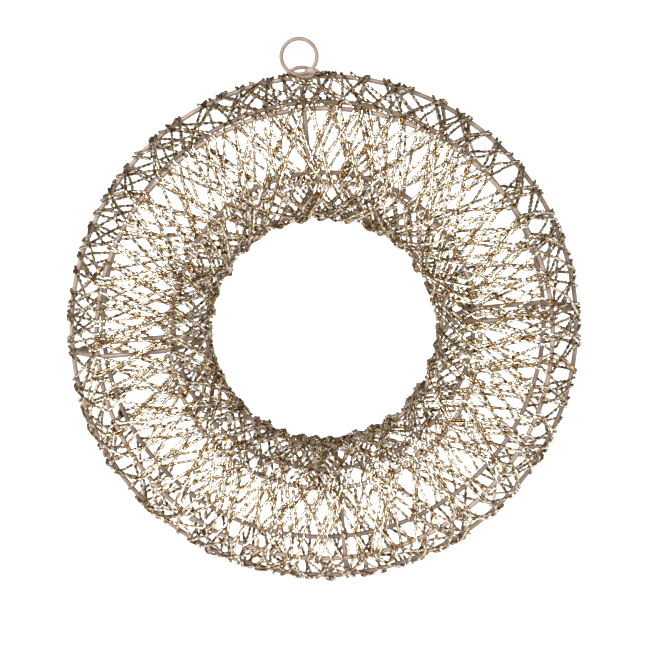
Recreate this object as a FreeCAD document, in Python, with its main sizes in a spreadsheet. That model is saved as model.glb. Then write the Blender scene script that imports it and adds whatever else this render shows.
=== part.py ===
import FreeCAD, Part
import math
import os
import random
import Sketcher

# Hanging wreath frame: six painted wire rings, held in a hexagonal section by four closed
# hoops, with two wire eyes to hang it by and twisted glitter wire wound round all the rings.
# Millimetres. The wreath hangs in the XZ plane with its front towards -Y and +Z up,
# and the origin is the middle of the hanging eye.

driving = {
    "outerRadius": 148.6,      # outer ring, all ring radii are to the middle of the wire
    "sideOuterRadius": 132.0,  # the two outer rings of the front and back faces
    "sideInnerRadius": 90.0,   # the two inner rings of the front and back faces
    "innerRadius": 69.0,       # ring round the central opening
    "sideDepth": 27.0,         # front and back faces, from the middle plane
    "frameWire": 2.8,          # diameter of ring and hoop wire
    "frameWeld": 0.5,          # how deep a hoop sinks into a ring where they are welded
    "seatAngle": 62.0,         # degrees, the way a face ring looks out of the section
    "ribBend": 5.0,            # bend radius of the hoops, to the middle of the wire
    "eyeWire": 2.3,
    "eyeRadius": 10.3,         # to the middle of the eye's wire
    "eyeWeld": 0.8,            # how deep an eye sinks into its ring
    "strand": 1.5,             # diameter of the glitter wire
    "strandGap": 0.05,         # between the glitter wire and the ring that it turns round
    "crossingGap": 0.15,       # between two glitter wires where they cross
    "strandSpacing": 1.65,     # least distance between glitter wires along a ring
    "spanBend": 5.0,           # largest bend radius where a wire passes over another
    "hookAngle": 235.0,        # degrees that each end is turned round its ring
    "hookSlack": 0.2,          # how much wider than the wire's other bends its ends are turned
    "passCount": 4,            # times that the winding goes round the wreath
    "lengthCount": 4,          # lengths of wire in each pass
    "turnCount": 12,           # turns round the section in each length
    "firstAngle": 24.0,        # degrees from the top where the first length starts
    "passShift": 30.0,         # degrees between the starts of two passes
    "crossingMargin": 5.0,     # wires cross no nearer to a ring than this, where they can
    "stackHeight": 1.4,        # wires are laid aside rather than stacked higher than this
    "outerStray": 4.0,         # degrees that a wire strays from its place on each ring
    "sideOuterStray": 5.5,
    "sideInnerStray": 5.5,
    "innerStray": 6.0,
    "outerLean": -4.5,         # degrees that its place lies ahead of an even winding there: the wire
    "sideOuterLean": 4.5,      # runs aslant from ring to ring, and passes wound opposite ways cross
    "sideInnerLean": -8.0,
    "innerLean": 9.0,
}
windingSeed = 7
triesPerStop = 40
faultCosts = {        # what counts against a try, for each unit of its fault
    "crowding": 50,   # millimetre too near another stop on the ring
    "blocked": 500,   # a stop where an eye or a hoop is in the way
    "edge": 12,       # a crossing at the ring itself
    "stack": 0.6,     # millimetre over the stack height
}
farApart = 60        # degrees, spans that start further apart than this can't cross
parallel = 1e-9      # spans this near to parallel don't cross, and lengths this small are none
shallowTurn = 1      # degrees, corners under this are left out of a wire's path
bendShare = 0.45     # the most of a straight run that the bend at one end may take
settleRounds = 4     # rounds in which the stops of a wire find their distance from the rings
hookCorners = 3      # corners that the turned end of a wire is drawn with
volumeError = 0.001  # share by which a wire may miss its section times its length

doc = FreeCAD.newDocument("WreathFrame")
sheet = doc.addObject("Spreadsheet::Sheet", "Sizes")
for row, (alias, value) in enumerate(driving.items(), start=1):
    sheet.set("A%d" % row, alias)
    sheet.set("B%d" % row, str(value))
    sheet.setAlias("B%d" % row, alias)
doc.recompute()
size = {alias: float(sheet.get(alias)) for alias in driving}

# Expressions that more than one sub-part is placed by.
wreathZ = ("-(Sizes.outerRadius + (Sizes.frameWire + Sizes.eyeWire) / 2"
           " - Sizes.eyeWeld + Sizes.eyeRadius)")
eyeBehind = "Sizes.sideDepth + (Sizes.frameWire + Sizes.eyeWire) / 2 - Sizes.eyeWeld"
facingY = FreeCAD.Rotation(FreeCAD.Vector(1, 0, 0), 90)


def bind(item, **expressions):
    for prop, expression in expressions.items():
        item.setExpression(prop.replace("_", "."), expression)


# ---------------------------------------------------------------- rings and eyes

def addTorus(label, radius, wire, depth, height):
    ring = doc.addObject("Part::Torus", label)
    ring.Label = label
    ring.Placement.Rotation = facingY
    bind(ring, Radius1=radius, Radius2=wire + " / 2", Placement_Base_y=depth, Placement_Base_z=height)
    return ring


ringSizes = {
    "outer_ring": ("Sizes.outerRadius", "0"),
    "front_outer_ring": ("Sizes.sideOuterRadius", "-Sizes.sideDepth"),
    "front_inner_ring": ("Sizes.sideInnerRadius", "-Sizes.sideDepth"),
    "inner_ring": ("Sizes.innerRadius", "0"),
    "back_inner_ring": ("Sizes.sideInnerRadius", "Sizes.sideDepth"),
    "back_outer_ring": ("Sizes.sideOuterRadius", "Sizes.sideDepth"),
}
rings = [addTorus(label, radius, "Sizes.frameWire", depth, wreathZ)
         for label, (radius, depth) in ringSizes.items()]
allRings = doc.addObject("Part::MultiFuse", "AllRings")
allRings.Shapes = rings


def addEye(label, ring, depth, height):
    wire = addTorus(label + "_wire", "Sizes.eyeRadius", "Sizes.eyeWire", depth, height)
    eye = doc.addObject("Part::Cut", label)
    eye.Label = label
    eye.Base = wire
    eye.Tool = ring
    return eye


# The hanging eye stands on the outer ring; the other one lies behind the back outer ring,
# with its lowest point level with the middle of that ring's wire.
hangingEye = addEye("hanging_eye", rings[0], "0", "0")
backEye = addEye("back_hanging_eye", rings[5], eyeBehind,
                 wreathZ + " + Sizes.sideOuterRadius + Sizes.eyeRadius")


# ---------------------------------------------------------------- hoops

# Middle of the bend at each ring, in the section: (distance out from the axis, depth).
inward = "(Sizes.frameWire - Sizes.frameWeld + Sizes.ribBend)"
seatOut = "cos(Sizes.seatAngle * 1 deg) * " + inward
seatBack = "sin(Sizes.seatAngle * 1 deg) * " + inward
bendCentres = [
    ("Sizes.outerRadius - " + inward, "0"),
    ("Sizes.sideOuterRadius - " + seatOut, "-Sizes.sideDepth + " + seatBack),
    ("Sizes.sideInnerRadius + " + seatOut, "-Sizes.sideDepth + " + seatBack),
    ("Sizes.innerRadius + " + inward, "0"),
    ("Sizes.sideInnerRadius + " + seatOut, "Sizes.sideDepth - " + seatBack),
    ("Sizes.sideOuterRadius - " + seatOut, "Sizes.sideDepth - " + seatBack),
]


def originPlane(body, role):
    return next(plane for plane in body.Origin.OriginFeatures if plane.Role == role)


def bindPoint(sketch, geometry, point, name, across, up):
    """Ties a point of the sketch to two expressions, its distances from the origin."""
    for kind, letter, expression in (("DistanceX", "X", across), ("DistanceY", "Y", up)):
        value = float(sheet.evalExpression(expression))
        index = sketch.addConstraint(Sketcher.Constraint(kind, -1, 1, geometry, point, value))
        sketch.renameConstraint(index, name + letter)
        sketch.setExpression("Constraints." + name + letter, expression)


def bindRadius(sketch, geometry, name, expression):
    value = float(sheet.evalExpression(expression))
    index = sketch.addConstraint(Sketcher.Constraint("Radius", geometry, value))
    sketch.renameConstraint(index, name)
    sketch.setExpression("Constraints." + name, expression)


def drawHoopPath(body, label):
    """The bent wire's middle line in the section: six straights joined by six bends."""
    sketch = body.newObject("Sketcher::SketchObject", label + "_path")
    sketch.AttachmentSupport = [(originPlane(body, "YZ_Plane"), "")]
    sketch.MapMode = "FlatFace"
    bend = size["ribBend"]
    centres = [FreeCAD.Vector(float(sheet.evalExpression(back)), float(sheet.evalExpression(out)), 0)
               for out, back in bendCentres]
    count = len(centres)
    facing = []
    lines = []
    for index, centre in enumerate(centres):
        after = centres[(index + 1) % count]
        along = (after - centre).normalize()
        side = FreeCAD.Vector(along.y, -along.x, 0)
        facing.append(math.atan2(side.y, side.x))
        lines.append(sketch.addGeometry(Part.LineSegment(centre + side * bend, after + side * bend)))
    arcs = []
    for index, centre in enumerate(centres):
        circle = Part.Circle(centre, FreeCAD.Vector(0, 0, 1), bend)
        stops = [facing[index - 1], facing[index]]
        if index == 0:  # the wire starts and ends at the outer ring, so that bend is drawn in two halves
            stops.insert(1, math.pi / 2)
        arcs.append([sketch.addGeometry(Part.ArcOfCircle(circle, first, last))
                     for first, last in zip(stops, stops[1:])])
    for index in range(count):
        first, last = arcs[index][0], arcs[index][-1]
        sketch.addConstraint(Sketcher.Constraint("Tangent", lines[index - 1], 2, first, 1))
        sketch.addConstraint(Sketcher.Constraint("Tangent", lines[index], 1, last, 2))
        out, back = bendCentres[index]
        bindPoint(sketch, first, 3, "bend%d" % index, back, out)
        bindRadius(sketch, first, "radius%d" % index, "Sizes.ribBend")
    half, otherHalf = arcs[0]
    sketch.addConstraint(Sketcher.Constraint("Coincident", half, 3, otherHalf, 3))
    sketch.addConstraint(Sketcher.Constraint("Coincident", half, 2, otherHalf, 1))
    sketch.addConstraint(Sketcher.Constraint("PointOnObject", half, 2, -2))
    return sketch


def addHoop(label, angle):
    body = doc.addObject("PartDesign::Body", label + "_wire")
    path = drawHoopPath(body, label)
    section = body.newObject("Sketcher::SketchObject", label + "_section")
    section.AttachmentSupport = [(originPlane(body, "XZ_Plane"), "")]
    section.MapMode = "FlatFace"
    top = "Sizes.outerRadius - Sizes.frameWire + Sizes.frameWeld"
    middle = FreeCAD.Vector(0, float(sheet.evalExpression(top)), 0)
    circle = section.addGeometry(Part.Circle(middle, FreeCAD.Vector(0, 0, 1), size["frameWire"] / 2))
    bindPoint(section, circle, 3, "middle", "0", top)
    bindRadius(section, circle, "wire", "Sizes.frameWire / 2")
    doc.recompute()
    pipe = body.newObject("PartDesign::AdditivePipe", label + "_pipe")
    pipe.Profile = section
    pipe.Spine = path
    body.Placement.Rotation = FreeCAD.Rotation(FreeCAD.Vector(0, 1, 0), angle)
    bind(body, Placement_Base_z=wreathZ)
    hoop = doc.addObject("Part::Cut", label)
    hoop.Label = label
    hoop.Base = body
    hoop.Tool = allRings
    return hoop


hoopAngles = {"top_rib": 0, "right_rib": 90, "bottom_rib": 180, "left_rib": 270}
hoops = [addHoop(label, angle) for label, angle in hoopAngles.items()]
doc.recompute()


# ---------------------------------------------------------------- route of the winding

# The section's corners in the order that the wire meets them. A glitter wire turns round each
# ring in a bend that just clears it, so its corner points stand a little outside the rings.
reach = (size["frameWire"] + size["strand"]) / 2 + size["strandGap"]
sectionTurn = math.radians(360 / len(rings))
seatAngle = size["seatAngle"]
ringPlaces = [  # radius, depth, degrees that the ring looks out of the section, its name in the sizes
    (size["outerRadius"], 0.0, 0.0, "outer"),
    (size["sideOuterRadius"], -size["sideDepth"], -seatAngle, "sideOuter"),
    (size["sideInnerRadius"], -size["sideDepth"], seatAngle - 180, "sideInner"),
    (size["innerRadius"], 0.0, 180.0, "inner"),
    (size["sideInnerRadius"], size["sideDepth"], 180 - seatAngle, "sideInner"),
    (size["sideOuterRadius"], size["sideDepth"], seatAngle, "sideOuter"),
]
endRing = 4  # every length starts and ends on the back inner ring


def cornerOf(ring, stand):
    """Distance out and depth of a point that stands outside a ring by the given amount."""
    radius, depth, facing, name = ringPlaces[ring]
    return (radius + stand * math.cos(math.radians(facing)),
            depth + stand * math.sin(math.radians(facing)))


corners = [cornerOf(ring, reach / math.cos(sectionTurn / 2)) for ring in range(len(ringPlaces))]


def bandNormal(band):
    """Outward direction, out and deep, of the band between a ring and the next, and its width."""
    (out, deep), (nextOut, nextDeep) = corners[band], corners[(band + 1) % len(corners)]
    length = math.hypot(nextOut - out, nextDeep - deep)
    return (deep - nextDeep) / length, (nextOut - out) / length, length


def hoopPlace(band, ring):
    """A hoop's outer side at one of a band's two rings: (share along the band, height above its line)."""
    normalOut, normalDeep, length = bandNormal(band)
    out, deep = cornerOf(ring, size["frameWeld"] - size["frameWire"] - size["ribBend"])
    out -= corners[band][0]
    deep -= corners[band][1]
    share = (normalDeep * out - normalOut * deep) / length
    return share, normalOut * out + normalDeep * deep + size["ribBend"] + size["frameWire"] / 2


def hoopKeepOut(ring):
    """Half the angle on a ring that a hoop keeps the winding from, if it stands out past the ring."""
    highest = max(hoopPlace(band, ring)[1] for band in (ring, (ring - 1) % len(corners)))
    if highest + size["strand"] / 2 < 0:
        return 0.0
    room = (size["frameWire"] + size["strand"]) / 2 + size["crossingMargin"]
    return math.degrees(room / ringPlaces[ring][0])


def eyeKeepOut(rise, lowest, radius):
    """Half the angle on a ring that an eye's wire keeps the winding from, in degrees."""
    outside = size["eyeRadius"] + size["eyeWire"] / 2
    half = math.sqrt(outside ** 2 - (outside - lowest - rise) ** 2) + size["strand"]
    return math.degrees(half / radius)


def riseBehind():
    """How far out from the back outer ring the winding comes before it has passed in front of the eye."""
    (out, deep), (nextOut, nextDeep) = corners[5], corners[0]
    eyeFront = size["sideDepth"] + size["frameWire"] / 2 - size["eyeWeld"]
    drop = deep - eyeFront + size["strand"] / 2
    return out - size["sideOuterRadius"] + drop * (nextOut - out) / (deep - nextDeep)


wrapRise = size["frameWire"] / 2 + size["strand"] + 2 * size["strandGap"]
blocked = {ring: [(angle, hoopKeepOut(ring)) for angle in hoopAngles.values()]
           for ring in range(len(ringPlaces))}  # ring: [(angle, half the angle round it that is kept out of)]
blocked[0].append((0, eyeKeepOut(wrapRise, size["eyeWeld"] - size["frameWire"] / 2, size["outerRadius"])))
blocked[5].append((0, eyeKeepOut(max(wrapRise, riseBehind()), size["eyeWire"] / 2, size["sideOuterRadius"])))


def turnFrom(angle, other):
    return (angle - other + 180) % 360 - 180


def frontView(out, angle):
    """Place on the front view as one complex number: across + height * 1j."""
    return complex(out * math.sin(math.radians(angle)), out * math.cos(math.radians(angle)))


def heightAt(line, share):
    """Height of a span above its chord, at a share of the way along it."""
    for (before, low), (after, high) in zip(line, line[1:]):
        if share <= after:
            return low + (high - low) * (share - before) / max(after - before, parallel)
    return 0.0


def tautLine(points):
    """The stretched line over a set of (share, height) points."""
    line = []
    for point in sorted(points):
        while len(line) > 1:
            (first, low), (second, high) = line[-2:]
            if (high - low) * (point[0] - first) > (point[1] - low) * (second - first):
                break
            line.pop()
        line.append(point)
    return line


def crossings(band, start, end, laid):
    """For each span that a new one crosses: share along the new one, height it needs, share from a ring."""
    out, deep = corners[band]
    nextOut, nextDeep = corners[(band + 1) % len(corners)]
    normalDeep = bandNormal(band)[1]
    here = frontView(out, start)
    step = frontView(nextOut, end) - here
    found = []
    for otherStart, otherEnd, otherHere, otherStep, otherLine in laid:
        if turnFrom(start, otherStart) * turnFrom(end, otherEnd) > 0:
            continue
        if abs(turnFrom(start, otherStart)) > farApart:
            continue
        across = (step.conjugate() * otherStep).imag
        if abs(across) < parallel:
            continue
        gap = otherHere - here
        share = (gap.conjugate() * otherStep).imag / across
        otherShare = (gap.conjugate() * step).imag / across
        if not (0 <= share <= 1 and 0 <= otherShare <= 1):
            continue
        sink = normalDeep * (nextDeep - deep) * (otherShare - share)
        need = heightAt(otherLine, otherShare) + size["strand"] + size["crossingGap"] + sink
        found.append((share, need, min(share, 1 - share, otherShare, 1 - otherShare)))
    return found


def overHoops(band, start, end):
    """The same for each hoop that would otherwise be in the new span's way."""
    after = (band + 1) % len(corners)
    out, nextOut = corners[band][0], corners[after][0]
    here = frontView(out, start)
    step = frontView(nextOut, end) - here
    found = []
    for angle in hoopAngles.values():
        if turnFrom(start, angle) * turnFrom(end, angle) >= 0 or abs(turnFrom(start, angle)) > farApart:
            continue
        along = frontView(1.0, angle).conjugate()
        share = -(along * here).imag / (along * step).imag
        sag = out + (nextOut - out) * share - abs(here + step * share)
        (near, low), (far, high) = hoopPlace(band, band), hoopPlace(band, after)
        height = low + (high - low) * (share - near) / (far - near) + bandNormal(band)[0] * sag
        need = height + size["strand"] / 2 + size["crossingGap"]
        if need > 0:
            found.append((share, need, min(share, 1 - share)))
    return found


def tryStop(draw, ring, angle, middle, isFirst, taken, laid):
    """One try at where the wire meets the next ring: (cost, angle there, line of the span)."""
    radius, depth, facing, name = ringPlaces[ring]
    there = middle + draw.uniform(-1, 1) * size[name + "Stray"]
    cost = 0.0
    for other in taken[ring]:
        near = math.radians(abs(turnFrom(there, other))) * radius
        cost += faultCosts["crowding"] * max(0.0, size["strandSpacing"] - near)
    if any(abs(turnFrom(there, middle)) < half for middle, half in blocked[ring]):
        cost += faultCosts["blocked"]
    line = [(0.0, 0.0), (1.0, 0.0)]
    if not isFirst:
        band = (ring - 1) % len(ringPlaces)
        margin = size["crossingMargin"] / bandNormal(band)[2]
        met = crossings(band, angle, there, laid[band]) + overHoops(band, angle, there)
        cost += sum(max(0.0, faultCosts["edge"] * (1 - edge / margin)) for share, need, edge in met)
        line = tautLine(line + [(share, need) for share, need, edge in met if need > 0])
        highest = max(height for share, height in line)
        cost += faultCosts["stack"] * max(0.0, highest - size["stackHeight"])
    return cost, there, line


def layLength(draw, first, arc, taken, laid):
    """One length of wire wound along an arc of the wreath, as (ring, angle, line of the span to it)."""
    stepCount = len(ringPlaces) * int(size["turnCount"])
    stops = []
    angle = first
    for step in range(stepCount + 1):
        ring = (endRing + step) % len(ringPlaces)
        lean = size[ringPlaces[ring][3] + "Lean"]
        middle = first + arc * step / stepCount + math.copysign(lean, lean * arc)
        choices = [tryStop(draw, ring, angle, middle, step == 0, taken, laid)
                   for attempt in range(triesPerStop)]
        cost, chosen, line = min(choices, key=lambda choice: choice[0])
        if step > 0:
            band = (ring - 1) % len(ringPlaces)
            here = frontView(corners[band][0], angle)
            there = frontView(corners[ring][0], chosen)
            laid[band].append((angle, chosen, here, there - here, line))
        taken[ring].append(chosen)
        stops.append((ring, chosen, line))
        angle = chosen
    return stops


def layNet():
    """All the lengths of wire, each pass wound the other way round from the one before."""
    draw = random.Random(windingSeed)
    taken = [[] for place in ringPlaces]
    laid = [[] for place in ringPlaces]
    lengths = []
    for windingPass in range(int(size["passCount"])):
        arc = 360 / size["lengthCount"] * (-1) ** windingPass
        for part in range(int(size["lengthCount"])):
            first = size["firstAngle"] + windingPass * size["passShift"] + arc * part
            lengths.append(layLength(draw, first, arc, taken, laid))
    return lengths


# ---------------------------------------------------------------- glitter wires

def inWreath(out, deep, angle):
    turn = math.radians(angle)
    return FreeCAD.Vector(out * math.sin(turn), deep, out * math.cos(turn))


def unit(vector):
    return vector * (1 / vector.Length)


def bendAt(before, point, after, radius):
    """A path's bend at a point: (angle it turns, middle of the bend, way to the middle, way along)."""
    arriving = unit(point - before)
    leaving = unit(after - point)
    turn = arriving.getAngle(leaving)
    inwards = unit(leaving - arriving)
    return turn, point + inwards * (radius / math.cos(turn / 2)), inwards, unit(leaving + arriving)


def shortfall(before, point, after, ring):
    """How much too near a ring's wire the bend at a point comes."""
    turn, centre, inwards, along = bendAt(before, point, after, reach)
    bend = [centre + (along * math.sin(share * turn) - inwards * math.cos(share * turn)) * reach
            for share in (-0.5, -0.25, 0.0, 0.25, 0.5)]
    return reach - min(offRing(place, ring) for place in bend)


def offRing(point, ring):
    radius, depth, facing, name = ringPlaces[ring]
    return math.hypot(math.hypot(point.x, point.z) - radius, point.y - depth)


def hookPoints(before, ring, angle):
    """Points that turn the wire's end round its ring, after it arrives from another point."""
    middle = inWreath(ringPlaces[ring][0], ringPlaces[ring][1], angle)
    outwards = unit(inWreath(*cornerOf(ring, reach), angle) - middle)
    whole = math.radians(size["hookAngle"])
    cornerTurn = whole / hookCorners
    loose = reach + size["hookSlack"]
    tangent = inWreath(1.0, 0.0, angle + 90)
    point = middle + outwards * loose
    for attempt in range(settleRounds):
        along = unit(point - before)
        side = unit(outwards - along * outwards.dot(along))
        wide = along * (1 / math.sqrt(1 - along.dot(tangent) ** 2))
        turns = [cornerTurn * (corner + 0.5) for corner in range(hookCorners)]
        stand = loose / math.cos(cornerTurn / 2)
        points = [middle + (side * math.cos(turn) + wide * math.sin(turn)) * stand for turn in turns]
        point = points[0]
    return points + [middle + (side * math.cos(whole) + wide * math.sin(whole)) * loose]


def routeOf(stops):
    """Corner points of one wire, as [point, largest bend radius, ring and angle of a stop]."""
    route = []
    for (ring, angle, line), (nextRing, nextAngle, nextLine) in zip(stops, stops[1:]):
        here = inWreath(*corners[ring], angle)
        there = inWreath(*corners[nextRing], nextAngle)
        normalOut, normalDeep, length = bandNormal(ring)
        route.append([here, reach, (ring, angle)])
        for share, height in nextLine[1:-1]:
            point = here + (there - here) * share
            turn = math.degrees(math.atan2(point.x, point.z))
            point += inWreath(normalOut * height, normalDeep * height, turn)
            if (point - route[-1][0]).Length > 2 * reach:
                route.append([point, size["spanBend"], None])
    route.append([there, reach, (nextRing, nextAngle)])
    settle(route)
    route[-1:] = [[point, reach, None] for point in hookPoints(route[-2][0], *route[-1][2])]
    route[:1] = [[point, reach, None] for point in hookPoints(route[1][0], *route[0][2])][::-1]
    return route


def settle(route):
    """Moves each stop out until its bend clears the ring."""
    stand = {index: reach / math.cos(sectionTurn / 2)
             for index in range(1, len(route) - 1) if route[index][2]}
    for attempt in range(settleRounds):
        for index in stand:
            ring, angle = route[index][2]
            before, point, after = (route[index + offset][0] for offset in (-1, 0, 1))
            stand[index] += shortfall(before, point, after, ring)
            route[index][0] = inWreath(*cornerOf(ring, stand[index]), angle)


def bentPath(route):
    """Straight runs joined by tangent arcs through the route's corners."""
    points = [route[0][0]]
    radii = [0]
    for before, (point, radius, stop), after in zip(route, route[1:], route[2:]):
        if bendAt(points[-1], point, after[0], radius)[0] > math.radians(shallowTurn):
            points.append(point)
            radii.append(radius)
    points.append(route[-1][0])
    edges = []
    start = points[0]
    for before, point, after, radius in zip(points, points[1:], points[2:], radii[1:]):
        turn = bendAt(before, point, after, radius)[0]
        room = bendShare * min((point - before).Length, (after - point).Length)
        tangent = min(radius * math.tan(turn / 2), room)
        radius = tangent / math.tan(turn / 2)
        turn, centre, inwards, along = bendAt(before, point, after, radius)
        bendStart = point + unit(before - point) * tangent
        bendEnd = point + unit(after - point) * tangent
        edges.append(Part.LineSegment(start, bendStart).toShape())
        edges.append(Part.Arc(bendStart, centre - inwards * radius, bendEnd).toShape())
        start = bendEnd
    edges.append(Part.LineSegment(start, points[-1]).toShape())
    return Part.Wire(edges)


def addGlitterWire(label, stops):
    path = bentPath(routeOf(stops))
    first = path.Edges[0]
    start = first.FirstParameter
    section = Part.Circle(first.valueAt(start), first.tangentAt(start), size["strand"] / 2)
    tube = path.makePipe(Part.Face(Part.Wire(section.toShape())))
    wire = doc.addObject("Part::Feature", label)
    wire.Label = label
    wire.Shape = tube
    wire.Placement.Base.z = float(sheet.evalExpression(wreathZ))
    swept = math.pi * (size["strand"] / 2) ** 2 * path.Length
    if abs(tube.Volume / swept - 1) > volumeError:
        raise ValueError("%s doesn't fill its path: %.1f of %.1f" % (label, tube.Volume, swept))
    print("%s: %.0f mm of wire" % (label, path.Length))
    return wire


glitterWires = [addGlitterWire("glitter_wire_%02d" % number, stops)
                for number, stops in enumerate(layNet(), start=1)]


# ---------------------------------------------------------------- checks and files

doc.recompute()
failed = [item.Label for item in doc.Objects if "Invalid" in item.State or "Error" in item.State]
if failed:
    raise ValueError("not built: " + ", ".join(failed))
subParts = rings + [hangingEye, backEye] + hoops + glitterWires
for item in subParts:
    if item.Shape.isNull() or not item.Shape.isValid() or len(item.Shape.Solids) != 1:
        raise ValueError("not one whole solid: " + item.Label)
os.makedirs("parts", exist_ok=True)
for item in subParts:
    item.Shape.exportStep(os.path.join("parts", item.Label + ".step"))
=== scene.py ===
import bpy
import math
import random
from mathutils import Matrix, Vector


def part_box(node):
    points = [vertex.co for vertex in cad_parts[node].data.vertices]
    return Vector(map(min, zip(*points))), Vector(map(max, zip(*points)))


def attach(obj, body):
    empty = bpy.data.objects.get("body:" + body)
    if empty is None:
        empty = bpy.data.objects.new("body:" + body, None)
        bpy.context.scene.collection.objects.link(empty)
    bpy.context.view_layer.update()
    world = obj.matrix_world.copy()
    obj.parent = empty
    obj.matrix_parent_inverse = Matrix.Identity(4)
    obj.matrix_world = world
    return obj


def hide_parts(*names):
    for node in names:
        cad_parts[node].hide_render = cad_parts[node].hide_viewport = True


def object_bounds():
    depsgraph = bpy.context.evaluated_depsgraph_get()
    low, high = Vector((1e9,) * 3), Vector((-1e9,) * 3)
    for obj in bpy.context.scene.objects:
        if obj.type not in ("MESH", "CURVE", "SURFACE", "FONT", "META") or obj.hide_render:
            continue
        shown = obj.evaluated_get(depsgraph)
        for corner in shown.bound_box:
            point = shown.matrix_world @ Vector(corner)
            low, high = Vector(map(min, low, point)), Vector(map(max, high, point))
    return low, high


# Round wire wreath frame, wound with twisted glitter wire, hanging in a pale studio.
# Blender works in metres. The winding is worked out in millimetres and brought over at the end.

mm = 0.001
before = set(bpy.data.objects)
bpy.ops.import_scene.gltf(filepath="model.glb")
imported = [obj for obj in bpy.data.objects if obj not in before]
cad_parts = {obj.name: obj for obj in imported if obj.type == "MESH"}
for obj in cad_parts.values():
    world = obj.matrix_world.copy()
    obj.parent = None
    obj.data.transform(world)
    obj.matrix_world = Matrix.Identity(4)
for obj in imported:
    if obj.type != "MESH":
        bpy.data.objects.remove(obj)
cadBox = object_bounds()


def middleOf(node):
    low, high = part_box(node)
    return (Vector(low) + Vector(high)) / 2


wreathMiddle = middleOf("outer_ring")


# Camera

cameraSet = {
    "distance": 1.548,              # from the middle of the wreath
    "elevation": 9.0,               # degrees above it
    "roll": -5.3,                   # degrees, the wreath hangs a little crooked in view
    "lens": 145.6,
    "sensor": 36.0,
    "aim": (0.0006, 0.0, 0.0024),   # past the middle of the wreath
    "clipEnd": 100.0,
}


def addCamera():
    elevation = math.radians(cameraSet["elevation"])
    away = Vector((0, -math.cos(elevation), math.sin(elevation)))
    aim = wreathMiddle + Vector(cameraSet["aim"])
    turned = (-away).to_track_quat("-Z", "Y").to_matrix()
    turned @= Matrix.Rotation(math.radians(cameraSet["roll"]), 3, "Z")
    bpy.ops.object.camera_add(location=aim + away * cameraSet["distance"], rotation=turned.to_euler())
    camera = bpy.context.object
    camera.data.lens = cameraSet["lens"]
    camera.data.sensor_width = cameraSet["sensor"]
    camera.data.clip_end = cameraSet["clipEnd"]
    bpy.context.scene.camera = camera


addCamera()
print("camera placed")


# Winding: where each length of glitter wire runs, round the section and round the wreath

size = {  # of the frame and its winding, in millimetres and degrees
    "outerRadius": 148.6,      # rings, to the middle of their wire
    "sideOuterRadius": 132.0,
    "sideInnerRadius": 90.0,
    "innerRadius": 69.0,
    "sideDepth": 27.0,         # front and back faces, from the middle plane
    "frameWire": 2.8,          # diameter of ring and hoop wire
    "frameWeld": 0.5,          # how deep a hoop sinks into a ring
    "ribBend": 5.0,            # bend radius of the hoops
    "seatAngle": 62.0,         # the way a face ring looks out of the section
    "eyeWire": 2.3,
    "eyeRadius": 10.3,
    "eyeWeld": 0.8,            # how deep an eye sinks into its ring
    "strand": 1.5,             # diameter that the glitter wire is laid for
    "strandGap": 0.05,         # between the wire and the ring that it turns round
    "crossingGap": 0.15,       # between two wires where they cross
    "strandSpacing": 1.65,     # least distance between wires along a ring
    "hookAngle": 235.0,        # how far each end is turned round its ring
    "hookSlack": 0.2,          # how much wider than the other bends the ends are turned
    "passCount": 4,            # times that the winding goes round the wreath
    "lengthCount": 4,          # lengths of wire in each pass
    "turnCount": 12,           # turns round the section in each length
    "firstAngle": 24.0,        # from the top, where the first length starts
    "passShift": 30.0,         # between the starts of two passes
    "crossingMargin": 5.0,     # wires cross no nearer to a ring than this, where they can
    "stackHeight": 1.4,        # wires are laid aside rather than stacked higher than this
    "outerStray": 4.0,         # how far a wire strays from its place on each ring
    "sideOuterStray": 5.5,
    "sideInnerStray": 5.5,
    "innerStray": 6.0,
    "outerLean": -4.5,         # how far its place lies ahead of an even winding, so that the wires
    "sideOuterLean": 4.5,      # run aslant and passes wound opposite ways cross
    "sideInnerLean": -8.0,
    "innerLean": 9.0,
    "seed": 7,
    "tries": 40,               # places tried for each stop
    "farApart": 60.0,          # spans that start further apart than this can't cross
    "tiny": 1e-9,              # less counts as nothing: parallel spans don't cross
    "settleRounds": 4,
    "hookCorners": 3,          # corners that a turned end is drawn with
    "grip": 2.6,               # how far from a corner the wire starts to bend
    "gripShare": 0.42,         # and the most of a run that this takes
    "wanderRun": 6.5,          # about how far apart a wire's small kinks are
    "wander": 0.75,            # how far aside it wanders between them
    "kinkShift": 0.2,          # share of a run by which a kink is out of its place
}
# What counts against a try: a millimetre too near another stop, a stop under an eye, a crossing at
# the ring itself, and a millimetre over the stack height.
faultCosts = {"crowding": 50, "underEye": 500, "edge": 12, "stack": 0.6}

reach = (size["frameWire"] + size["strand"]) / 2 + size["strandGap"]
seatAngle = size["seatAngle"]
ringPlaces = [  # radius, depth, degrees that the ring looks out of the section, its name in the sizes
    (size["outerRadius"], 0.0, 0.0, "outer"),
    (size["sideOuterRadius"], -size["sideDepth"], -seatAngle, "sideOuter"),
    (size["sideInnerRadius"], -size["sideDepth"], seatAngle - 180, "sideInner"),
    (size["innerRadius"], 0.0, 180.0, "inner"),
    (size["sideInnerRadius"], size["sideDepth"], 180 - seatAngle, "sideInner"),
    (size["sideOuterRadius"], size["sideDepth"], seatAngle, "sideOuter"),
]
sectionTurn = math.radians(360 / len(ringPlaces))
endRing = 4  # every length starts and ends on the back inner ring
hoopAngles = (0, 90, 180, 270)


# Distance out and depth of a point that stands outside a ring by the given amount.
def cornerOf(ring, stand):
    radius, depth, facing, name = ringPlaces[ring]
    return (radius + stand * math.cos(math.radians(facing)),
            depth + stand * math.sin(math.radians(facing)))


corners = [cornerOf(ring, reach / math.cos(sectionTurn / 2)) for ring in range(len(ringPlaces))]


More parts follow.
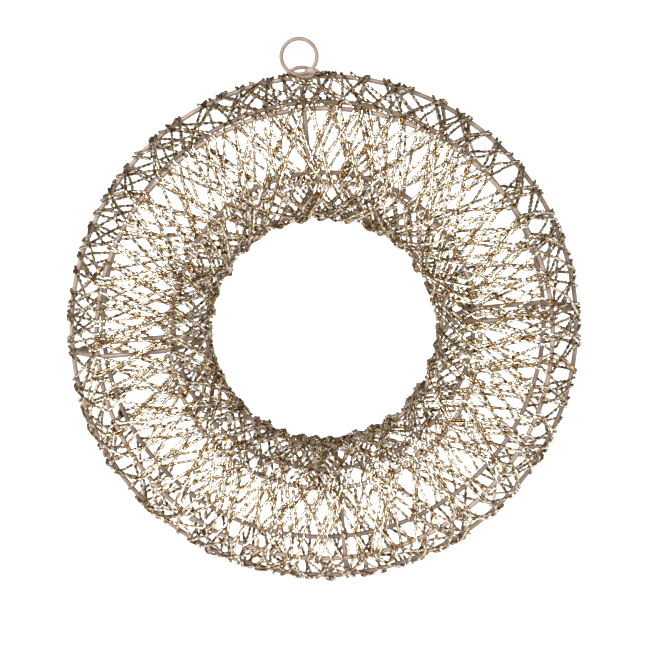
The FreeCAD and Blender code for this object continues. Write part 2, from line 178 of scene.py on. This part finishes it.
# Outward direction, out and deep, of the band between a ring and the next, and its width.
def bandNormal(band):
    (out, deep), (nextOut, nextDeep) = corners[band], corners[(band + 1) % len(corners)]
    length = math.hypot(nextOut - out, nextDeep - deep)
    return (deep - nextDeep) / length, (nextOut - out) / length, length


# Half the angle on a ring that an eye's wire keeps the winding from.
def eyeKeepOut(rise, lowest, radius):
    outside = size["eyeRadius"] + size["eyeWire"] / 2
    half = math.sqrt(outside ** 2 - (outside - lowest - rise) ** 2) + size["strand"]
    return math.degrees(half / radius)


wrapRise = size["frameWire"] / 2 + size["strand"] + 2 * size["strandGap"]
keepOut = {  # degrees either side of the top, on the outer ring and on the back outer ring
    0: eyeKeepOut(wrapRise, size["eyeWeld"] - size["frameWire"] / 2, size["outerRadius"]),
    5: eyeKeepOut(wrapRise, size["eyeWire"] / 2, size["sideOuterRadius"]),
}


# Degrees from another angle to this one, the shorter way round.
def turnFrom(angle, other):
    return (angle - other + 180) % 360 - 180


# Place on the front view as one complex number: across + height * 1j.
def frontView(out, angle):
    return complex(out * math.sin(math.radians(angle)), out * math.cos(math.radians(angle)))


# Height of a span above its chord, at a share of the way along it.
def heightAt(line, share):
    for (before, low), (after, high) in zip(line, line[1:]):
        if share <= after:
            return low + (high - low) * (share - before) / max(after - before, size["tiny"])
    return 0.0


# The stretched line over a set of (share, height) points.
def tautLine(points):
    line = []
    for point in sorted(points):
        while len(line) > 1:
            (first, low), (second, high) = line[-2:]
            if (high - low) * (point[0] - first) > (point[1] - low) * (second - first):
                break
            line.pop()
        line.append(point)
    return line


# For each span that a new one crosses: share along the new one, height it needs, share from a ring.
def crossings(band, start, end, laid):
    out, deep = corners[band]
    nextOut, nextDeep = corners[(band + 1) % len(corners)]
    normalDeep = bandNormal(band)[1]
    here = frontView(out, start)
    step = frontView(nextOut, end) - here
    found = []
    for otherStart, otherEnd, otherHere, otherStep, otherLine in laid:
        if turnFrom(start, otherStart) * turnFrom(end, otherEnd) > 0:
            continue
        if abs(turnFrom(start, otherStart)) > size["farApart"]:
            continue
        across = (step.conjugate() * otherStep).imag
        if abs(across) < size["tiny"]:
            continue
        gap = otherHere - here
        share = (gap.conjugate() * otherStep).imag / across
        otherShare = (gap.conjugate() * step).imag / across
        if not (0 <= share <= 1 and 0 <= otherShare <= 1):
            continue
        sink = normalDeep * (nextDeep - deep) * (otherShare - share)
        need = heightAt(otherLine, otherShare) + size["strand"] + size["crossingGap"] + sink
        found.append((share, need, min(share, 1 - share, otherShare, 1 - otherShare)))
    return found


# A hoop's outer side at one of a band's two rings: (share along the band, height above its line).
def hoopPlace(band, ring):
    normalOut, normalDeep, length = bandNormal(band)
    out, deep = cornerOf(ring, size["frameWeld"] - size["frameWire"] - size["ribBend"])
    out -= corners[band][0]
    deep -= corners[band][1]
    share = (normalDeep * out - normalOut * deep) / length
    return share, normalOut * out + normalDeep * deep + size["ribBend"] + size["frameWire"] / 2


# The same as for crossings, for each hoop that would otherwise be in the new span's way.
def overHoops(band, start, end):
    after = (band + 1) % len(corners)
    out, nextOut = corners[band][0], corners[after][0]
    here = frontView(out, start)
    step = frontView(nextOut, end) - here
    found = []
    for angle in hoopAngles:
        if turnFrom(start, angle) * turnFrom(end, angle) >= 0:
            continue
        if abs(turnFrom(start, angle)) > size["farApart"]:
            continue
        along = frontView(1.0, angle).conjugate()
        share = -(along * here).imag / (along * step).imag
        sag = out + (nextOut - out) * share - abs(here + step * share)
        (near, low), (far, high) = hoopPlace(band, band), hoopPlace(band, after)
        height = low + (high - low) * (share - near) / (far - near) + bandNormal(band)[0] * sag
        need = height + size["strand"] / 2 + size["crossingGap"]
        if need > 0:
            found.append((share, need, min(share, 1 - share)))
    return found


# One try at where the wire meets the next ring: (cost, angle there, line of the span).
def tryStop(draw, ring, angle, middle, isFirst, taken, laid):
    radius, depth, facing, name = ringPlaces[ring]
    there = middle + draw.uniform(-1, 1) * size[name + "Stray"]
    cost = 0.0
    for other in taken[ring]:
        near = math.radians(abs(turnFrom(there, other))) * radius
        cost += faultCosts["crowding"] * max(0.0, size["strandSpacing"] - near)
    if abs(turnFrom(there, 0)) < keepOut.get(ring, 0):
        cost += faultCosts["underEye"]
    line = [(0.0, 0.0), (1.0, 0.0)]
    if not isFirst:
        band = (ring - 1) % len(ringPlaces)
        margin = size["crossingMargin"] / bandNormal(band)[2]
        met = crossings(band, angle, there, laid[band]) + overHoops(band, angle, there)
        cost += sum(max(0.0, faultCosts["edge"] * (1 - edge / margin)) for share, need, edge in met)
        line = tautLine(line + [(share, need) for share, need, edge in met if need > 0])
        highest = max(height for share, height in line)
        cost += faultCosts["stack"] * max(0.0, highest - size["stackHeight"])
    return cost, there, line


# One length of wire wound along an arc of the wreath, as (ring, angle, line of the span to it).
def layLength(draw, first, arc, taken, laid):
    stepCount = len(ringPlaces) * size["turnCount"]
    stops = []
    angle = first
    for step in range(stepCount + 1):
        ring = (endRing + step) % len(ringPlaces)
        lean = size[ringPlaces[ring][3] + "Lean"]
        middle = first + arc * step / stepCount + math.copysign(lean, lean * arc)
        choices = [tryStop(draw, ring, angle, middle, step == 0, taken, laid)
                   for attempt in range(size["tries"])]
        cost, chosen, line = min(choices, key=lambda choice: choice[0])
        if step > 0:
            band = (ring - 1) % len(ringPlaces)
            here = frontView(corners[band][0], angle)
            there = frontView(corners[ring][0], chosen)
            laid[band].append((angle, chosen, here, there - here, line))
        taken[ring].append(chosen)
        stops.append((ring, chosen, line))
        angle = chosen
    return stops


# All the lengths of wire, each pass wound the other way round from the one before.
def layNet():
    draw = random.Random(size["seed"])
    taken = [[] for place in ringPlaces]
    laid = [[] for place in ringPlaces]
    lengths = []
    for windingPass in range(size["passCount"]):
        arc = 360 / size["lengthCount"] * (-1) ** windingPass
        for part in range(size["lengthCount"]):
            first = size["firstAngle"] + windingPass * size["passShift"] + arc * part
            lengths.append(layLength(draw, first, arc, taken, laid))
    return lengths


# Point at a distance out from the middle and a depth, at an angle from the top.
def inWreath(out, deep, angle):
    turn = math.radians(angle)
    return Vector((out * math.sin(turn), deep, out * math.cos(turn)))


# A bend at a point: (angle it turns, middle of the bend, way to the middle, way along).
def bendAt(before, point, after, radius):
    arriving = (point - before).normalized()
    leaving = (after - point).normalized()
    turn = arriving.angle(leaving)
    inwards = (leaving - arriving).normalized()
    along = (leaving + arriving).normalized()
    return turn, point + inwards * (radius / math.cos(turn / 2)), inwards, along


# Distance of a point from the middle of a ring's wire.
def offRing(point, ring):
    radius, depth, facing, name = ringPlaces[ring]
    return math.hypot(math.hypot(point.x, point.z) - radius, point.y - depth)


bendShares = (-0.5, -0.25, 0.0, 0.25, 0.5)  # of its turn, where a bend is measured


# How much too near a ring's wire the bend at a point comes.
def shortfall(before, point, after, ring):
    turn, centre, inwards, along = bendAt(before, point, after, reach)
    bend = [centre + (along * math.sin(share * turn) - inwards * math.cos(share * turn)) * reach
            for share in bendShares]
    return reach - min(offRing(place, ring) for place in bend)


# Points that turn the wire's end round its ring, after it arrives from another point.
def hookPoints(before, ring, angle):
    middle = inWreath(ringPlaces[ring][0], ringPlaces[ring][1], angle)
    outwards = (inWreath(*cornerOf(ring, reach), angle) - middle).normalized()
    whole = math.radians(size["hookAngle"])
    cornerTurn = whole / size["hookCorners"]
    loose = reach + size["hookSlack"]
    tangent = inWreath(1.0, 0.0, angle + 90)
    point = middle + outwards * loose
    for attempt in range(size["settleRounds"]):
        along = (point - before).normalized()
        side = (outwards - along * outwards.dot(along)).normalized()
        wide = along / math.sqrt(1 - along.dot(tangent) ** 2)
        turns = [cornerTurn * (corner + 0.5) for corner in range(size["hookCorners"])]
        stand = loose / math.cos(cornerTurn / 2)
        points = [middle + (side * math.cos(turn) + wide * math.sin(turn)) * stand for turn in turns]
        point = points[0]
    return points + [middle + (side * math.cos(whole) + wide * math.sin(whole)) * loose]


# Moves each stop out until its bend clears the ring.
def settle(route):
    stand = {index: reach / math.cos(sectionTurn / 2)
             for index in range(1, len(route) - 1) if route[index][1]}
    for attempt in range(size["settleRounds"]):
        for index in stand:
            ring, angle = route[index][1]
            before, point, after = (route[index + offset][0] for offset in (-1, 0, 1))
            stand[index] += shortfall(before, point, after, ring)
            route[index][0] = inWreath(*cornerOf(ring, stand[index]), angle)


# Corner points of one wire.
def routeOf(stops):
    route = []
    for (ring, angle, line), (nextRing, nextAngle, nextLine) in zip(stops, stops[1:]):
        here = inWreath(*corners[ring], angle)
        there = inWreath(*corners[nextRing], nextAngle)
        normalOut, normalDeep, length = bandNormal(ring)
        route.append([here, (ring, angle)])
        for share, height in nextLine[1:-1]:
            point = here + (there - here) * share
            turn = math.degrees(math.atan2(point.x, point.z))
            point = point + inWreath(normalOut * height, normalDeep * height, turn)
            # A crossing too near the last corner gets no corner of its own.
            if (point - route[-1][0]).length > 2 * reach:
                route.append([point, None])
    route.append([there, (nextRing, nextAngle)])
    settle(route)
    first, last = route[0][1], route[-1][1]
    points = [point for point, stop in route[1:-1]]
    return hookPoints(points[0], *first)[::-1] + points + hookPoints(points[-1], *last)


# The wire bends just before and after each corner, and wanders a little aside on the long runs between.
def bendPoints(points, draw):
    bent = [points[0]]
    for index in range(1, len(points) - 1):
        before, point, after = points[index - 1:index + 2]
        back, on = before - point, after - point
        leave = point + on.normalized() * min(size["grip"], on.length * size["gripShare"])
        bent.append(point + back.normalized() * min(size["grip"], back.length * size["gripShare"]))
        bent += [point, leave]
        kinks = int(on.length / size["wanderRun"]) - 1
        aside = on.cross((point + after).cross(on)).normalized().cross(on.normalized())
        for kink in range(kinks):
            share = (kink + 1 + draw.uniform(-size["kinkShift"], size["kinkShift"])) / (kinks + 1)
            bent.append(point + on * share + aside * draw.uniform(-1, 1) * size["wander"])
    return bent + [points[-1]]


# Smooth line through a wire's bends, in metres in the frame, as the points of its spline.
def wireLine(points, resolution):
    curve = bpy.data.curves.new("wireLine", "CURVE")
    curve.dimensions = "3D"
    spline = curve.splines.new("NURBS")
    spline.points.add(len(points) - 1)
    for place, point in zip(spline.points, points):
        place.co = (*(point * mm + wreathMiddle), 1)
    spline.order_u = 3
    spline.use_endpoint_u = True
    spline.resolution_u = resolution
    holder = bpy.data.objects.new("wireLine", curve)
    mesh = bpy.data.meshes.new_from_object(holder)
    line = [vertex.co.copy() for vertex in mesh.vertices]
    bpy.data.meshes.remove(mesh)
    bpy.data.objects.remove(holder)
    bpy.data.curves.remove(curve)
    return line


net = layNet()
print("winding laid: %d lengths" % len(net))


# Materials

# Linear red, green, blue and alpha of an sRGB hex colour.
def linear(colour):
    channels = [int(colour[start:start + 2], 16) / 255 for start in (1, 3, 5)]
    return [c / 12.92 if c <= 0.04045 else ((c + 0.055) / 1.055) ** 2.4 for c in channels] + [1.0]


# Adds a node, sets its own settings and input values, and links what other nodes feed it.
def addNode(material, kind, settings=None, values=None, links=None):
    node = material.node_tree.nodes.new(kind)
    for name, value in (settings or {}).items():
        setattr(node, name, value)
    for name, value in (values or {}).items():
        node.inputs[name].default_value = value
    for name, source in (links or {}).items():
        material.node_tree.links.new(source, node.inputs[name])
    return node


def newMaterial(name):
    material = bpy.data.materials.new(name)
    material.use_nodes = True
    material.node_tree.nodes.clear()
    return material


def finishMaterial(material, shader):
    addNode(material, "ShaderNodeOutputMaterial", links={"Surface": shader.outputs["BSDF"]})
    return material


def setRamp(ramp, stops):
    elements = ramp.color_ramp.elements
    while len(elements) < len(stops):
        elements.new(0.5)
    for element, (place, colour) in zip(elements, stops):
        element.position = place
        element.color = linear(colour)


paintSet = {
    "pale": "#8b7463",
    "main": "#786453",
    "dull": "#5e4e40",
    "paleStop": 0.68,        # where each tone lies on the ramp
    "mainStop": 0.5,
    "dullStop": 0.32,
    "roughness": 0.42,
    "refraction": 1.5,
    "cloud": 9.0,            # mm between pale and dull patches where the paint ran thick or thin
    "cloudDetail": 4.0,
    "cloudRoughness": 0.6,
    "lump": 1.6,             # mm between lumps in the dipped paint
    "lumpDetail": 3.0,
    "lumpDepth": 0.05,       # mm
}


# Dipped rose-brown enamel on steel wire: satin, with slow changes of tone and a lumpy surface.
def dippedEnamel():
    material = newMaterial("dippedRoseEnamel")
    place = addNode(material, "ShaderNodeTexCoord").outputs["Object"]
    cloud = addNode(material, "ShaderNodeTexNoise", values={
        "Scale": 1 / (paintSet["cloud"] * mm), "Detail": paintSet["cloudDetail"],
        "Roughness": paintSet["cloudRoughness"]}, links={"Vector": place})
    tone = addNode(material, "ShaderNodeValToRGB", links={"Fac": cloud.outputs["Fac"]})
    setRamp(tone, [(paintSet[name + "Stop"], paintSet[name]) for name in ("dull", "main", "pale")])
    lumps = addNode(material, "ShaderNodeTexNoise", values={
        "Scale": 1 / (paintSet["lump"] * mm), "Detail": paintSet["lumpDetail"]}, links={"Vector": place})
    bump = addNode(material, "ShaderNodeBump", values={
        "Distance": paintSet["lumpDepth"] * mm, "Strength": 1.0}, links={"Height": lumps.outputs["Fac"]})
    shader = addNode(material, "ShaderNodeBsdfPrincipled", values={
        "Roughness": paintSet["roughness"], "IOR": paintSet["refraction"]},
        links={"Base Color": tone.outputs["Color"], "Normal": bump.outputs["Normal"]})
    return finishMaterial(material, shader)


foilSet = {
    "gold": "#e0cfa8",
    # The dark tones are painted shade: each ply's colour darkened as light bouncing in the twist would
    # darken it, laid on in random stretches.
    "goldPaintedShade": "#80592e",
    "silver": "#f6f3ee",
    "silverPaintedShade": "#8f734a",
    "paintedShadeStop": 0.4,         # where each tone lies on the ramps
    "brightStop": 0.6,
    "roughness": 0.24,
    "goldShare": 0.5,        # of the way round the wire, the rest is the silver ply
    "patch": 4.0,            # mm between stretches of foil in its own bright tone and stretches in a tone darkened as painted shade
    "patchDetail": 2.0,
    "crinkle": 0.5,          # mm between creases
    "crinkleDetail": 2.0,
    "creaseDepth": 0.018,    # mm
}


# Metallised foil wire, a champagne gold ply and a silver one twisted together: bright creased metal, with
# random stretches in a darker, browner tone that is painted shade, as light bouncing between the plies
# would darken it.
def twistedFoil():
    material = newMaterial("twistedFoilWire")
    along = addNode(material, "ShaderNodeUVMap", settings={"uv_map": "wireMap"}).outputs["UV"]
    split = addNode(material, "ShaderNodeSeparateXYZ", links={"Vector": along})
    ply = addNode(material, "ShaderNodeMath", settings={"operation": "GREATER_THAN"},
                  values={1: foilSet["goldShare"]}, links={0: split.outputs["X"]})
    place = addNode(material, "ShaderNodeTexCoord").outputs["Object"]
    patch = addNode(material, "ShaderNodeTexNoise", values={
        "Scale": 1 / (foilSet["patch"] * mm), "Detail": foilSet["patchDetail"]}, links={"Vector": place})
    # Each ply's ramp runs, in random stretches, from a painted shaded tone to its own bright tone.
    gold = addNode(material, "ShaderNodeValToRGB", links={"Fac": patch.outputs["Fac"]})
    setRamp(gold, [(foilSet["paintedShadeStop"], foilSet["goldPaintedShade"]), (foilSet["brightStop"], foilSet["gold"])])
    silver = addNode(material, "ShaderNodeValToRGB", links={"Fac": patch.outputs["Fac"]})
    setRamp(silver, [(foilSet["paintedShadeStop"], foilSet["silverPaintedShade"]),
                     (foilSet["brightStop"], foilSet["silver"])])
    # Sockets 6 and 7 are the mix's two colours, and output 2 is the mixed colour.
    tone = addNode(material, "ShaderNodeMix", settings={"data_type": "RGBA"}, links={
        "Factor": ply.outputs[0], 6: gold.outputs["Color"], 7: silver.outputs["Color"]})
    crinkle = addNode(material, "ShaderNodeTexNoise", values={
        "Scale": 1 / (foilSet["crinkle"] * mm), "Detail": foilSet["crinkleDetail"]},
        links={"Vector": place})
    bump = addNode(material, "ShaderNodeBump", values={
        "Distance": foilSet["creaseDepth"] * mm}, links={"Height": crinkle.outputs["Fac"]})
    shader = addNode(material, "ShaderNodeBsdfPrincipled", values={
        "Metallic": 1.0, "Roughness": foilSet["roughness"]},
        links={"Base Color": tone.outputs[2], "Normal": bump.outputs["Normal"]})
    return finishMaterial(material, shader)


enamel = dippedEnamel()
foil = twistedFoil()
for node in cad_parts.values():
    node.data.materials.clear()
    node.data.materials.append(enamel)
print("materials made")


# Weld at the foot of the hanging eye: paint and solder fill the notch between the eye and its ring

eyeWeldSet = {
    "size": (4.7, 1.3, 2.5),      # mm, half the length, depth and height of the lump
    "middle": (7.3, 0.0, -9.7),   # mm from the middle of the eye
    "slope": -20.0,               # degrees, it falls towards the side
    "segments": 40,
    "rings": 20,
}


def addEyeWeld():
    bpy.ops.object.select_all(action="DESELECT")
    bpy.ops.mesh.primitive_uv_sphere_add(segments=eyeWeldSet["segments"], ring_count=eyeWeldSet["rings"],
                                         radius=mm)
    weld = bpy.context.object
    weld.name = "eye_weld"
    bpy.ops.transform.resize(value=eyeWeldSet["size"])
    bpy.ops.transform.rotate(value=math.radians(eyeWeldSet["slope"]), orient_axis="Y",
                             center_override=(0, 0, 0))
    bpy.ops.transform.translate(value=[distance * mm for distance in eyeWeldSet["middle"]])
    bpy.ops.object.transform_apply(location=True, rotation=True, scale=True)
    bpy.ops.object.shade_smooth()
    weld.data.materials.append(enamel)
    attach(weld, "root")


addEyeWeld()
print("eye weld made")


# Glitter wire

strandSet = {
    "halfWidth": 1.06,     # mm, across both plies
    "halfThick": 0.64,     # mm, of one ply
    "waist": 0.46,         # mm, half the thickness between the plies
    "lay": 8.0,            # mm of wire for a whole twist
    "laySections": 8,
    "unevenness": 0.25,    # share by which the twist is quicker or slower along the wire
    "unevenLength": 37.0,  # mm
    "resolution": 4,
}


# Points at even distances along a line.
def evenPoints(line, step):
    points = [line[0]]
    carried = 0.0
    for start, end in zip(line, line[1:]):
        length = (end - start).length
        while carried + step <= length:
            carried += step
            points.append(start.lerp(end, carried / length))
        carried -= length
    return points


# A two-ply wire along a line: an eight-sided waisted section that turns as it goes.
def twistedMesh(name, line, phase):
    width = strandSet["halfWidth"] * mm
    thick = strandSet["halfThick"] * mm
    waist = strandSet["waist"] * mm
    section = [(width, 0), (width / 2, thick), (0, waist), (-width / 2, thick),
               (-width, 0), (-width / 2, -thick), (0, -waist), (width / 2, -thick)]
    sides = len(section)
    lay = strandSet["lay"] * mm
    step = lay / strandSet["laySections"]
    points = evenPoints(line, step)
    vertices = []
    twist = phase
    side = (points[1] - points[0]).orthogonal().normalized()
    for index, point in enumerate(points):
        along = (points[min(index + 1, len(points) - 1)] - points[max(index - 1, 0)]).normalized()
        side = (side - along * side.dot(along)).normalized()
        up = along.cross(side)
        uneven = math.sin(index * step / (strandSet["unevenLength"] * mm) + phase) * strandSet["unevenness"]
        twist += math.tau / strandSet["laySections"] * (1 + uneven)
        wide = side * math.cos(twist) + up * math.sin(twist)
        thin = up * math.cos(twist) - side * math.sin(twist)
        vertices += [point + wide * across + thin * height for across, height in section]
    faces = []
    places = []
    for index in range(len(points) - 1):
        for corner in range(sides):
            here, there = index * sides, (index + 1) * sides
            after = (corner + 1) % sides
            faces.append((here + corner, here + after, there + after, there + corner))
            left, right = corner / sides, (corner + 1) / sides
            low, high = index * step, (index + 1) * step
            places += [(left, low), (right, low), (right, high), (left, high)]
    faces.append(tuple(range(sides - 1, -1, -1)))
    faces.append(tuple(range(len(vertices) - sides, len(vertices))))
    places += [(0.5, 0.0)] * sides + [(0.5, len(points) * step)] * sides
    mesh = bpy.data.meshes.new(name)
    mesh.from_pydata(vertices, [], faces)
    layer = mesh.uv_layers.new(name="wireMap")
    layer.uv.foreach_set("vector", [value for place in places for value in place])
    mesh.polygons.foreach_set("use_smooth", [True] * len(mesh.polygons))
    mesh.materials.append(foil)
    return mesh


def addGlitterWire(number, stops):
    name = "glitter_wire_%02d" % number
    line = wireLine(bendPoints(routeOf(stops), random.Random(number)), strandSet["resolution"])
    wire = bpy.data.objects.new("twisted_wire_%02d" % number, twistedMesh(name, line, number))
    bpy.context.scene.collection.objects.link(wire)
    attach(wire, "root")
    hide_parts(name)


for number, stops in enumerate(net, start=1):
    addGlitterWire(number, stops)
print("glitter wire wound")


# Studio: a wide pale floor below the hanging wreath, and soft light

studioSet = {
    "floorDrop": 0.3,        # m, below the wreath
    "floorHalf": 40.0,       # m, half its side
    "floorColour": "#f4f3f1",
    "floorRoughness": 0.9,
    "floorGlow": 0.75,
    "skyColour": "#fff1e0",
    "skyStrength": 0.3,
    "keyColour": "#eef4ff",
    "keyStrength": 7.0,
    "keyElevation": 20.0,    # degrees above the level
    "keyAzimuth": -20.0,     # degrees, to the left of the camera
    "keyAngle": 40.0,        # degrees across, for soft shadows
}


def addFloor():
    height = cadBox[0][2] - studioSet["floorDrop"]
    bpy.ops.mesh.primitive_plane_add(size=2 * studioSet["floorHalf"], location=(0, 0, height))
    floor = bpy.context.object
    floor.name = "floor"
    material = newMaterial("matteWhitePaper")
    shader = addNode(material, "ShaderNodeBsdfPrincipled", values={
        "Base Color": linear(studioSet["floorColour"]), "Roughness": studioSet["floorRoughness"],
        "Emission Color": (1, 1, 1, 1), "Emission Strength": studioSet["floorGlow"]})
    floor.data.materials.append(finishMaterial(material, shader))


def addLight():
    elevation = math.radians(studioSet["keyElevation"])
    azimuth = math.radians(studioSet["keyAzimuth"])
    away = Vector((math.sin(azimuth) * math.cos(elevation), -math.cos(azimuth) * math.cos(elevation),
                   math.sin(elevation)))
    bpy.ops.object.light_add(type="SUN", rotation=away.to_track_quat("Z", "Y").to_euler())
    key = bpy.context.object
    key.data.color = linear(studioSet["keyColour"])[:3]
    key.data.energy = studioSet["keyStrength"]
    key.data.angle = math.radians(studioSet["keyAngle"])
    world = bpy.data.worlds.new("studio")
    bpy.context.scene.world = world
    world.use_nodes = True
    backdrop = world.node_tree.nodes["Background"]
    backdrop.inputs["Color"].default_value = linear(studioSet["skyColour"])
    backdrop.inputs["Strength"].default_value = studioSet["skyStrength"]


addFloor()
addLight()
bpy.context.scene.view_settings.view_transform = "Standard"
print("studio lit")
